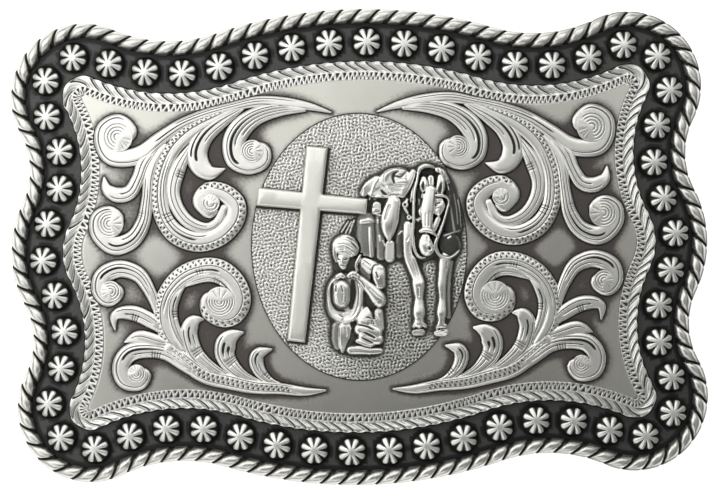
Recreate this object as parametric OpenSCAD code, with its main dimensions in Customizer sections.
// Western trophy buckle. A curved plate with a scalloped outline carries a rope edge, a ring of
// fluted studs in a dark channel, an engraved panel with raised scrolls, and an oval with a
// cross, a saddled horse and a kneeling figure. The back has a fixed belt loop and a hook stud.
// The buckle lies on its back: z = 0 is the surface that it rests on, +Z is its front.

/* [Outline] */
// Half of the overall width, from the middle to the side bulge
half_w = 50.4; // [50:0.1:51]
// Half of the overall height, from the middle to the top bulge
half_h = 34.3; // [34:0.1:35]
// Radius of the long top and bottom bulges
bulge_r = 67; // [60:1:75]
// Radius of the side bulges
side_r = 16.4; // [15:0.1:18]
// Radius of the corner lobes
lobe_r = 10.8; // [10.5:0.1:11]
// Middle of a corner lobe, across
lobe_x = 39.2; // [39:0.1:39.6]
// Middle of a corner lobe, up
lobe_y = 22.4; // [22:0.1:22.6]
// Radius of the hollows beside the top and bottom bulges
top_hollow_r = 20.7; // [18:0.1:24]
// Radius of the hollows beside the side bulges
side_hollow_r = 10.7; // [9.5:0.1:12]

/* [Plates] */
// Radius of the curve that fits the wearer's waist
curve_r = 280; // [240:10:400]
// Height of the plate's back above the surface it rests on, at the middle
back_z = 9; // [8.6:0.1:9.6]
// Thickness of the base plate
plate_t = 1.8; // [1.4:0.1:2.4]
// Thickness of the engraved panel
panel_t = 1.1; // [0.8:0.1:1.4]
// Thickness of the stippled oval
oval_t = 0.3; // [0.2:0.05:0.5]
// Thickness of the raised scrolls
scroll_t = 0.75; // [0.5:0.05:1]
// Height of the cross above the oval
cross_h = 1.8; // [1.2:0.1:2.2]
// Gap between stacked pieces
gap = 0.05; // [0.04:0.01:0.08]

/* [Rope and studs] */
// Width of the rope edge
rope_w = 2.3; // [2:0.1:2.5]
// Height of the rope edge
rope_h = 1.7; // [1.4:0.1:2]
// Number of strands that show along the rope
rope_strands = 128; // [120:1:132]
// Number of studs in the channel
stud_count = 54; // [50:1:56]
// Radius of a stud
stud_r = 2.2; // [1.8:0.05:2.3]
// Height of a stud
stud_h = 1.7; // [1.4:0.1:1.9]

/* [Back] */
// Diameter of the belt loop's wire
wire_d = 3; // [2.6:0.1:3.4]
// Clear width inside the belt loop, for the strap
strap_w = 39; // [38:1:40]
// Place of the belt loop, across
loop_x = 24; // [20:1:28]
// Place of the hook stud's tip, across
hook_x = -27.5; // [-30:0.5:-22]
// Radius of the hook stud
hook_r = 1.9; // [1.7:0.1:2.1]
// Length of the hook stud's straight shank
hook_l = 4; // [3.6:0.1:4.2]
// Lean of the hook stud, away from the middle
hook_lean = 14; // [10:1:16]

/* [Hidden] */

plate_inset = 0.4;
rope_inset = 1.25;
stud_inset = 4.95;
panel_inset = 7.8;
face_z = back_z + plate_t;
panel_z = face_z + gap;
scroll_z = panel_z + panel_t + gap;
oval_z = scroll_z;
relief_z = oval_z + oval_t + gap;

// Half axes of the stippled oval
oval_a = 15.5;
oval_b = 19.2;

silver = [0.80, 0.79, 0.75];
bright = [0.90, 0.89, 0.85];
dark = [0.18, 0.17, 0.17];

// Outline: tangent arcs

function meet(c0, r0, c1, r1) =
    let (d = norm(c1 - c0), a = (r0 * r0 - r1 * r1 + d * d) / (2 * d), u = (c1 - c0) / d)
    c0 + a * u + sqrt(r0 * r0 - a * a) * [-u.y, u.x];

function angle_to(from, to) = atan2(to.y - from.y, to.x - from.x);

function arc(c, r, a0, a1, n) =
    [for (i = [0 : n - 1]) let (a = a0 + (a1 - a0) * i / n) c + r * [cos(a), sin(a)]];

bulge_c = [0, half_h - bulge_r];
lobe_c = [lobe_x, lobe_y];
side_c = [half_w - side_r, 0];
top_hollow_c = meet(bulge_c, bulge_r + top_hollow_r, lobe_c, lobe_r + top_hollow_r);
side_hollow_c = meet(lobe_c, lobe_r + side_hollow_r, side_c, side_r + side_hollow_r);
bulge_end = angle_to(bulge_c, top_hollow_c);
lobe_start = angle_to(lobe_c, top_hollow_c);
lobe_end = angle_to(lobe_c, side_hollow_c);
side_start = angle_to(side_c, side_hollow_c);

// A quarter of the outline, moved in by d, from the top bulge's middle to the side bulge's middle
function quarter(d, fine) = concat(
    arc(bulge_c, bulge_r - d, 90, bulge_end, 8 * fine),
    arc(top_hollow_c, top_hollow_r + d, bulge_end + 180, lobe_start + 180, 8 * fine),
    arc(lobe_c, lobe_r - d, lobe_start, lobe_end, 18 * fine),
    arc(side_hollow_c, side_hollow_r + d, lobe_end + 180, side_start + 180, 7 * fine),
    arc(side_c, side_r - d, side_start, 0, 5 * fine),
    [[half_w - d, 0]]);

function flip(points, sx, sy) = [for (p = points) [sx * p.x, sy * p.y]];
function inner_reversed(points) = [for (i = [len(points) - 2 : -1 : 1]) points[i]];

// The whole outline, clockwise from the top
function outline(d, fine = 1) =
    let (q = quarter(d, fine))
    concat(q, inner_reversed(flip(q, 1, -1)), flip(q, -1, -1), inner_reversed(flip(q, -1, 1)));

// Even steps along a closed line: each row is x, y and the run's direction
function runs(p) =
    [for (i = 0, s = 0; i <= len(p); s = s + norm(p[(i + 1) % len(p)] - p[i % len(p)]), i = i + 1) s];

function even_steps(p, count, first) =
    let (s = runs(p), total = s[len(p)],
         xs = [for (i = [0 : len(p)]) [s[i], p[i % len(p)].x]],
         ys = [for (i = [0 : len(p)]) [s[i], p[i % len(p)].y]])
    [for (k = [0 : count - 1])
        let (t = first + total * k / count, near = (t + 0.3) % total, here = t % total,
             a = [lookup(here, xs), lookup(here, ys)], b = [lookup(near, xs), lookup(near, ys)])
        [a.x, a.y, atan2(b.y - a.y, b.x - a.x)]];

// The curve over the waist: every front and back face is this cylinder, moved up or down

function drop(x) = curve_r - sqrt(curve_r * curve_r - x * x);

module bend(z) {
    translate([0, 0, z - curve_r])
        rotate([90, 0, 0])
            cylinder(r = curve_r, h = 4 * half_h, center = true, $fn = 720);
}

module curved_slab(low, high) {
    difference() {
        intersection() {
            translate([0, 0, low - 6])
                linear_extrude(high - low + 7)
                    children();
            bend(high);
        }
        bend(low);
    }
}

module seated(x, y, z) {
    translate([0, y, z - curve_r])
        rotate([0, asin(x / curve_r), 0])
            translate([0, 0, curve_r])
                children();
}

module base_plate() {
    color(dark)
        curved_slab(back_z, face_z)
            polygon(outline(plate_inset));
}

// Rope edge: slanted rings, wide and high on a strand, narrow and low between two strands.
// Each row of the section is the place across and the height, as shares of rope_w and rope_h.

rope_section = [[-0.38, 0], [0.38, 0], [0.5, 0.35], [0.3, 0.86], [-0.3, 0.86], [-0.5, 0.35]];
rope_slant = 1.1;
valley = 0.74;

module rope_edge() {
    rings = 2 * rope_strands;
    steps = even_steps(outline(rope_inset, 3), rings, 0);
    sides = len(rope_section);
    points = [for (k = [0 : rings - 1], j = [0 : sides - 1])
        let (full = k % 2 == 0 ? 1 : valley,
             u = rope_section[j][0] * rope_w * full,
             h = rope_section[j][1] * rope_h * full / 0.86,
             a = steps[k][2],
             x = steps[k].x + u * sin(a) + rope_slant * u * cos(a),
             y = steps[k].y - u * cos(a) + rope_slant * u * sin(a))
        [x, y, face_z + gap + h - drop(x)]];
    faces = [for (k = [0 : rings - 1], j = [0 : sides - 1])
        let (k1 = (k + 1) % rings, j1 = (j + 1) % sides)
        each [[k * sides + j, k * sides + j1, k1 * sides + j1],
              [k * sides + j, k1 * sides + j1, k1 * sides + j]]];
    color(silver)
        polyhedron(points = points, faces = faces);
}

// Studs: low domes with four crossing flutes that leave eight petals

flute_w = 0.6;
dome_h = stud_h - 0.35;
dome_r = (stud_r * stud_r + dome_h * dome_h) / (2 * dome_h);

module stud() {
    difference() {
        intersection() {
            cylinder(r = stud_r, h = stud_h, $fn = 48);
            translate([0, 0, stud_h - dome_r])
                sphere(r = dome_r, $fn = 48);
        }
        for (turn = [0 : 45 : 135])
            rotate([90, 0, turn])
                linear_extrude(flute_w, center = true)
                    polygon([[-stud_r - 0.2, 0.12], [0, stud_h + 0.22], [stud_r + 0.2, 0.12],
                             [stud_r + 0.2, stud_h + 1], [-stud_r - 0.2, stud_h + 1]]);
    }
}

module berry_studs() {
    first_stud = 1.7;
    color(bright)
        for (s = even_steps(outline(stud_inset, 3), stud_count, first_stud))
            seated(s.x, s.y, face_z + gap)
                stud();
}

module panel() {
    color(silver)
        curved_slab(panel_z, panel_z + panel_t)
            polygon(outline(panel_inset));
}

// Scrolls: each leaf is a smooth stroke through rows of x, y and half width

function smooth_at(a, b, c, d, t) =
    0.5 * (2 * b + (c - a) * t + (2 * a - 5 * b + 4 * c - d) * t * t
    + (3 * b - a - 3 * c + d) * t * t * t);

function smooth(rows, n = 3) =
    let (last = len(rows) - 1)
    concat([for (i = [0 : last - 1], k = [0 : n - 1])
        smooth_at(rows[max(i - 1, 0)], rows[i], rows[i + 1], rows[min(i + 2, last)], k / n)],
        [rows[last]]);

function unit(v) = v / norm(v);

function side_point(s, i, sign) =
    let (a = s[max(i - 1, 0)], b = s[min(i + 1, len(s) - 1)], d = unit([b.x - a.x, b.y - a.y]))
    [s[i].x, s[i].y] + sign * s[i][2] * [-d.y, d.x];

module leaf(rows) {
    s = smooth(rows);
    last = s[len(s) - 1];
    for (i = [0 : len(s) - 2])
        polygon([side_point(s, i, 1), side_point(s, i + 1, 1),
                 side_point(s, i + 1, -1), side_point(s, i, -1)]);
    translate([last.x, last.y])
        circle(r = last[2], $fn = 24);
}

function oval_outline(grow) =
    let (steps = 96)
    [for (i = [0 : steps - 1])
        let (t = 360 * i / steps)
        [(oval_a + grow) * cos(t), (oval_b + grow) * sin(t)]];

// The leaves stop just short of the oval
module scroll(leaves, side, shift) {
    oval_clearance = 0.12;
    color(bright)
        curved_slab(scroll_z, scroll_z + scroll_t)
            offset(delta = 0.01)
                difference() {
                    translate([shift, 0])
                        mirror([side == "right" ? 1 : 0, 0])
                            for (rows = leaves)
                                leaf(rows);
                    polygon(oval_outline(oval_clearance));
                }
}

top_leaves = [
    // Long stem from the tip beside the oval to the curl in the corner
    [[-3.6, 19.3, 0.15], [-6.6, 20.2, 0.55], [-10.2, 20.8, 0.85], [-14, 21.1, 0.8], [-17.8, 20.4, 0.7],
     [-21.7, 19.4, 0.8], [-25.3, 18, 0.85], [-28.5, 15.9, 1.05], [-30.8, 14.1, 1.3], [-33.1, 13.5, 1.35],
     [-35.3, 13.9, 1.4], [-36.4, 15.7, 1.3], [-36.1, 17.7, 1.3], [-34.2, 18.7, 1.15],
     [-32.6, 17.3, 1.15], [-33.5, 16.2, 1]],
    // Leaf that curls beside the oval
    [[-7.3, 19.9, 0.45], [-10.9, 19.9, 1], [-14.1, 19.1, 1.3], [-16.4, 17.5, 1.6], [-17.6, 15.4, 1.7],
     [-17.4, 13.1, 1.6], [-15.7, 12.1, 1.45], [-13.8, 12.6, 1.35], [-13.5, 14, 1.15],
     [-14.5, 14.6, 0.85]],
    // Crescent leaf above the big curl
    [[-17.2, 19.7, 0.45], [-19.6, 18.3, 1.15], [-21.7, 16.4, 1.3], [-22.8, 14.1, 1.35],
     [-22.4, 12.1, 1.35],
     [-21, 11.1, 1.05], [-19, 11.6, 0.15]],
    // Big curl
    [[-16.2, 20.7, 0.3], [-20.3, 18.9, 0.85], [-23.9, 17, 1.15], [-26.5, 14.5, 1.15], [-28, 11.3, 1.1],
     [-28.5, 8.1, 1.2], [-28, 4.9, 1.3], [-26.2, 2.4, 1.45], [-23.2, 1.2, 1.45], [-20.1, 1.9, 1.45],
     [-17.9, 4, 1.45], [-17.5, 6.4, 1.45], [-19.1, 8.1, 1.35], [-21.3, 8.5, 1.3], [-22.5, 7.1, 1.3],
     [-21.4, 5.8, 1.3]],
    // Inner leaf of the big curl
    [[-24.1, 14.7, 0.3], [-25.7, 11.9, 0.85], [-26.6, 8.7, 0.8], [-25.8, 6.1, 0.8], [-24.2, 4.2, 0.8],
     [-22, 3.3, 0.7], [-20.2, 4, 0.7], [-19.3, 6, 0.55]],
    // Curl below the corner
    [[-29.8, 11, 0.45], [-30.3, 7.4, 0.7], [-30.9, 4.2, 1.1], [-32.5, 1.8, 1.3], [-35.1, 1, 1.45],
     [-37.2, 2.7, 1.35], [-37.3, 4.7, 1.3], [-35.9, 5.6, 1.15], [-34.6, 4.8, 1], [-35.2, 3.6, 0.85]],
    // Hooked leaf between the two corner curls
    [[-28.8, 14.8, 0.55], [-30.6, 12.8, 1], [-31.5, 10.6, 0.95], [-32.7, 8.6, 1.1], [-34.5, 8.2, 1.15],
     [-36, 9.1, 0.85], [-36.4, 10.7, 0.2]]];

bottom_leaves = [
    // Long stem from the tip below the oval to the foot of the big curl
    [[-5.2, -20.4, 0.15], [-8.2, -20.5, 0.65], [-11.8, -20, 0.85], [-15.4, -19.7, 1],
     [-18.9, -18.9, 1.15],
     [-22.5, -17.9, 1.2], [-25.3, -15.9, 1.2], [-27.7, -13.9, 1]],
    // Three leaves that stand on the stem, from the oval outwards
    [[-12.4, -19.7, 0.7], [-14.3, -18, 1.15], [-15.2, -16.3, 1], [-14.6, -15, 1], [-13, -14.5, 0.2]],
    [[-15.8, -19.3, 0.7], [-18.3, -17.2, 1.3], [-19.9, -15.2, 1.3], [-19.8, -13.2, 1.3],
     [-18.4, -12.4, 0.85],
     [-16.5, -12.3, 0.2]],
    [[-21.5, -16.9, 0.7], [-23.4, -14.3, 1.3], [-24.7, -11.8, 1.2], [-24.6, -10.1, 1.15],
     [-22.9, -10, 0.2]],
    // Big curl
    [[-26, -14.5, 0.7], [-27.8, -12, 1.15], [-28.5, -9.1, 1.15], [-27.8, -6.3, 1.3], [-25.9, -4, 1.45],
     [-23.2, -2.7, 1.5], [-20.3, -2.7, 1.5], [-18, -4.5, 1.5], [-17.1, -7.1, 1.5], [-18, -9.2, 1.45],
     [-19.9, -9.8, 1.3], [-21.6, -8.7, 1.3], [-21.7, -7.1, 1.15], [-20.4, -7, 1]],
    // Inner leaf of the big curl
    [[-24.9, -14.5, 0.3], [-26.2, -12.1, 0.7], [-27, -8.9, 0.85], [-26.4, -6.3, 0.85],
     [-24.6, -4.3, 0.85],
     [-22.5, -3.7, 0.7], [-20.5, -3.9, 0.7], [-19.1, -5.2, 0.55], [-18.5, -6.8, 0.3]],
    // Curl in the corner
    [[-22.5, -18.6, 0.55], [-25.3, -16.4, 1], [-27.9, -14.6, 1.15], [-30.6, -14.1, 1.2],
     [-33.2, -14.5, 1.35],
     [-34.5, -16.3, 1.35], [-34, -18.3, 1.35], [-32.1, -18.8, 1.15], [-31.1, -17.7, 0.95],
     [-32.1, -17.2, 0.7]],
    // Low leaf on the corner curl
    [[-27.4, -13.5, 0.55], [-29.6, -12.8, 1], [-32, -12.2, 0.95], [-33.9, -12.9, 0.2]],
    // Hooked leaf above it
    [[-28.2, -11.6, 0.55], [-29.9, -10.1, 1.05], [-32.2, -8.9, 1.15], [-34.3, -8.7, 0.95],
     [-35.4, -9.4, 0.65],
     [-35.3, -11.1, 0.15]],
    // Curl above the corner
    [[-28.8, -10.1, 0.45], [-29.4, -7.7, 0.7], [-30.4, -5.2, 0.95], [-31.9, -3.2, 1.15],
     [-34.5, -2.4, 1.3],
     [-36.8, -3.4, 1.35], [-37.3, -5.4, 1.3], [-36.2, -6.7, 1.15], [-34.8, -5.8, 1], [-35.5, -4.8, 0.7]]];

// The right scrolls sit a little nearer the oval than the left ones
right_top_shift = -0.6;
right_bottom_shift = -0.8;

module scroll_top_left() {
    scroll(top_leaves, "left", 0);
}

module scroll_top_right() {
    scroll(top_leaves, "right", right_top_shift);
}

module scroll_bottom_left() {
    scroll(bottom_leaves, "left", 0);
}

module scroll_bottom_right() {
    scroll(bottom_leaves, "right", right_bottom_shift);
}

module oval_ground() {
    color(silver)
        curved_slab(oval_z, oval_z + oval_t)
            polygon(oval_outline(0));
}

// Cross: two tapered bars with bevelled edges, each from one end's x, y and width to the other's

upright_bar = [[-5.7, 14.4, 3.05], [-9.3, -13.3, 2.55]];
cross_bar = [[-14.4, 7.5, 2.6], [1.2, 5.7, 2.2]];
cross_bevel = 0.45;

module bar_outline(bar, inset) {
    a = [bar[0].x, bar[0].y];
    b = [bar[1].x, bar[1].y];
    along = unit(b - a);
    across = [-along.y, along.x];
    wa = bar[0][2] / 2 - inset;
    wb = bar[1][2] / 2 - inset;
    a_in = a + inset * along;
    b_in = b - inset * along;
    polygon([a_in + wa * across, a_in - wa * across, b_in - wb * across, b_in + wb * across]);
}

module bevelled_bar(bar) {
    low = relief_z - 1;
    hull() {
        translate([0, 0, low])
            linear_extrude(1 + cross_h - cross_bevel)
                bar_outline(bar, 0);
        translate([0, 0, low])
            linear_extrude(1 + cross_h)
                bar_outline(bar, cross_bevel);
    }
}

module cross() {
    color(bright)
        difference() {
            union() {
                bevelled_bar(upright_bar);
                bevelled_bar(cross_bar);
            }
            bend(relief_z);
        }
}

// Cast relief: limbs are chains of balls, a row for each ball's x, y, height above the oval and radius

module ball(row) {
    translate([row[0], row[1], relief_z - drop(row[0]) + row[2]])
        sphere(r = row[3], $fn = 10);
}

module limb(rows) {
    for (i = [0 : len(rows) - 2])
        hull() {
            ball(rows[i]);
            ball(rows[i + 1]);
        }
}

module mass(rows) {
    hull()
        for (row = rows)
            ball(row);
}

module on_oval() {
    difference() {
        union()
            children();
        bend(relief_z);
    }
}

module horse() {
    color(bright)
        on_oval() {
            // Hind quarters, far flank and chest
            mass([[0.6, 2.8, 0.2, 0.9], [3.4, 3.2, 0.3, 1.0], [0.8, -0.6, 0.1, 0.9],
                  [2.9, -0.6, 0.2, 0.9]]);
            mass([[6.8, 5.8, 0.5, 1.3], [12.6, 6.6, 0.4, 1.4], [13.4, 1.2, 0.3, 1.3],
                  [7.6, -0.8, 0.5, 1.2],
                  [11.8, -0.6, 0.4, 1.2], [10.6, 10.2, 0.5, 1.3]]);
            // Saddle: skirt, cantle, seat and fork with its horn
            mass([[1.6, 7.8, 0.5, 0.8], [3.4, 6.6, 0.8, 0.8], [4.2, 8.6, 0.9, 0.9],
                  [2.6, 8.8, 0.6, 0.8]]);
            limb([[2.6, 8.2, 1.0, 0.8], [4.4, 9.6, 1.4, 0.9], [5.6, 10.4, 1.5, 0.8]]);
            mass([[4.4, 7.6, 1.4, 1.1], [6.6, 7.4, 1.6, 1.2], [7.6, 9.8, 1.5, 0.9],
                  [8.4, 11.0, 1.3, 0.6]]);
            limb([[5.7, 9.6, 1.9, 0.6], [6.0, 10.5, 2.5, 0.5]]);
            // Fender and stirrup
            limb([[4.6, 6.2, 1.2, 0.7], [4.4, 3.8, 1.4, 1.0], [4.3, 1.4, 1.2, 0.5]]);
            mass([[4.0, 0.6, 1.0, 0.35], [4.9, 0.6, 1.0, 0.35], [4.0, -1.9, 1.0, 0.35],
                  [4.9, -1.9, 1.0, 0.35]]);
            // Neck, head, jaw and ears
            mass([[8.6, 10.4, 1.2, 0.9], [11.6, 10.0, 1.1, 1.0], [10.0, 8.6, 1.7, 1.1],
                  [12.2, 7.4, 1.2, 1.0]]);
            limb([[10.2, 8.8, 2.3, 0.95], [10.1, 5.2, 2.8, 0.9], [9.7, 2.2, 2.9, 0.8],
                  [9.5, 0.1, 2.8, 1.05]]);
            limb([[11.6, 7.0, 1.9, 0.9], [11.0, 4.6, 2.2, 0.8], [10.1, 2.0, 2.3, 0.7]]);
            limb([[9.2, 8.0, 2.2, 0.6], [9.1, 9.6, 2.4, 0.25]]);
            limb([[11.7, 8.0, 1.9, 0.65], [11.8, 9.8, 2.1, 0.25]]);
            // Near foreleg, from the shoulder to the hoof, and the far foreleg
            limb([[6.9, 3.4, 0.9, 1.0], [7.4, -1.2, 0.9, 0.85], [8.3, -5.0, 1.0, 0.85],
                  [8.3, -7.5, 0.7, 0.55],
                  [8.4, -9.0, 0.8, 0.8], [8.4, -10.4, 0.6, 0.55], [8.2, -12.2, 0.5, 0.85]]);
            limb([[12.1, -0.4, 0.9, 1.0], [11.8, -2.6, 0.9, 0.85], [11.7, -5.0, 0.8, 0.65],
                  [11.6, -7.4, 0.6, 0.4],
                  [11.6, -9.2, 0.8, 0.65], [11.5, -10.4, 0.6, 0.5], [11.6, -12.1, 0.5, 0.9]]);
            // Hind leg that shows beside the far foreleg
            limb([[12.8, -3.4, 0.1, 0.5], [12.6, -11.8, 0.1, 0.5]]);
        }
}

module kneeling_figure() {
    color(bright)
        on_oval() {
            // Head with its hair, and the collar
            mass([[-1.8, -0.2, 1.7, 1.5], [-1.6, -1.2, 1.6, 1.4], [-2.1, -2.3, 1.9, 0.8]]);
            limb([[-1.2, -2.2, 1.2, 0.8], [0.6, -2.0, 1.2, 0.8]]);
            // Back, shoulder and upper arm
            mass([[0.2, -2.6, 1.1, 1.1], [2.2, -3.0, 1.1, 1.2], [2.2, -6.0, 0.9, 1.1],
                  [0.4, -6.4, 0.8, 1.0]]);
            limb([[2.4, -3.6, 1.6, 0.8], [3.0, -6.0, 1.6, 0.75], [3.2, -8.0, 1.5, 0.8]]);
            // Forearm and the two hands
            limb([[3.1, -8.0, 1.6, 0.75], [1.2, -5.6, 2.1, 0.6], [-0.6, -4.3, 2.1, 0.65]]);
            limb([[-3.3, -4.7, 1.5, 0.6], [-2.6, -4.6, 1.5, 0.6]]);
            // Hat held in front: dished brim and crown
            difference() {
                mass([[-2.1, -4.9, 1.0, 0.9], [-3.7, -6.6, 1.0, 0.9], [-0.4, -6.6, 1.0, 0.9],
                      [-3.3, -8.8, 1.0, 0.8], [-0.8, -8.8, 1.0, 0.8], [-2.1, -10.0, 1.0, 0.8]]);
                mass([[-2.3, -5.2, 2.4, 0.9], [-3.0, -7.2, 2.4, 0.9], [-1.4, -7.2, 2.4, 0.9],
                      [-2.1, -8.8, 2.3, 0.8]]);
            }
            mass([[-2.6, -5.6, 1.4, 0.9], [-2.4, -7.6, 1.4, 0.9]]);
            // Waist and the thigh with its folds
            mass([[2.8, -8.6, 0.8, 0.9], [1.2, -9.4, 0.9, 1.0], [0.7, -13.2, 0.8, 0.9],
                  [2.6, -13.0, 0.7, 0.9]]);
            limb([[0.4, -10.8, 1.3, 0.55], [2.2, -11.5, 1.3, 0.5]]);
            limb([[0.2, -12.2, 1.2, 0.55], [2.2, -12.9, 1.2, 0.5]]);
            // Raised knee under the hat, and the boot on the ground
            limb([[-2.4, -11.0, 1.2, 1.1], [-2.1, -13.8, 0.8, 0.6]]);
            limb([[-1.8, -14.6, 0.4, 0.6], [2.8, -14.6, 0.4, 0.6]]);
        }
}

// Back: the solder feet follow the plate's curved back

module below_plate() {
    intersection() {
        union()
            children();
        bend(back_z - gap);
    }
}

module belt_loop() {
    wire_r = wire_d / 2;
    bend_r = 3;
    reach = strap_w / 2 + wire_r;
    foot_l = 6.5;
    foot_w = 6;
    foot_t = 1.2;
    foot_low = back_z - drop(loop_x + foot_w / 2) - foot_t - gap;
    color(silver)
        below_plate() {
            translate([loop_x, 0, wire_r])
                rotate([90, 0, 0])
                    cylinder(r = wire_r, h = 2 * (reach - bend_r), center = true, $fn = 48);
            for (side = [0, 1])
                mirror([0, side, 0]) {
                    translate([loop_x, reach - bend_r, wire_r + bend_r])
                        rotate([0, 90, 0])
                            rotate_extrude(angle = 90, $fn = 96)
                                translate([bend_r, 0])
                                    circle(r = wire_r, $fn = 48);
                    translate([loop_x, reach, wire_r + bend_r])
                        cylinder(r = wire_r, h = foot_low - wire_r - bend_r + foot_t / 2, $fn = 48);
                    translate([loop_x - foot_w / 2, reach - foot_l / 2, foot_low])
                        cube([foot_w, foot_l, foot_t + 1]);
                }
        }
}

// The hook stud's profile, turned about its own axis: a round tip, a straight shank and a wider
// foot whose shoulder is square to the shank

module hook_stud() {
    foot_r = 3.4;
    foot_l = 5;
    tip_z = hook_r;
    color(silver)
        below_plate() {
            translate([hook_x, 0, tip_z])
                rotate([0, hook_lean, 0])
                    rotate_extrude($fn = 64)
                        intersection() {
                            union() {
                                circle(r = hook_r, $fn = 64);
                                square([hook_r, hook_l + foot_l]);
                                translate([0, hook_l])
                                    square([foot_r, foot_l]);
                            }
                            translate([0, -hook_r])
                                square([foot_r, hook_r + hook_l + foot_l]);
                        }
        }
}

base_plate();
rope_edge();
berry_studs();
panel();
scroll_top_left();
scroll_top_right();
scroll_bottom_left();
scroll_bottom_right();
oval_ground();
cross();
horse();
kneeling_figure();
belt_loop();
hook_stud();
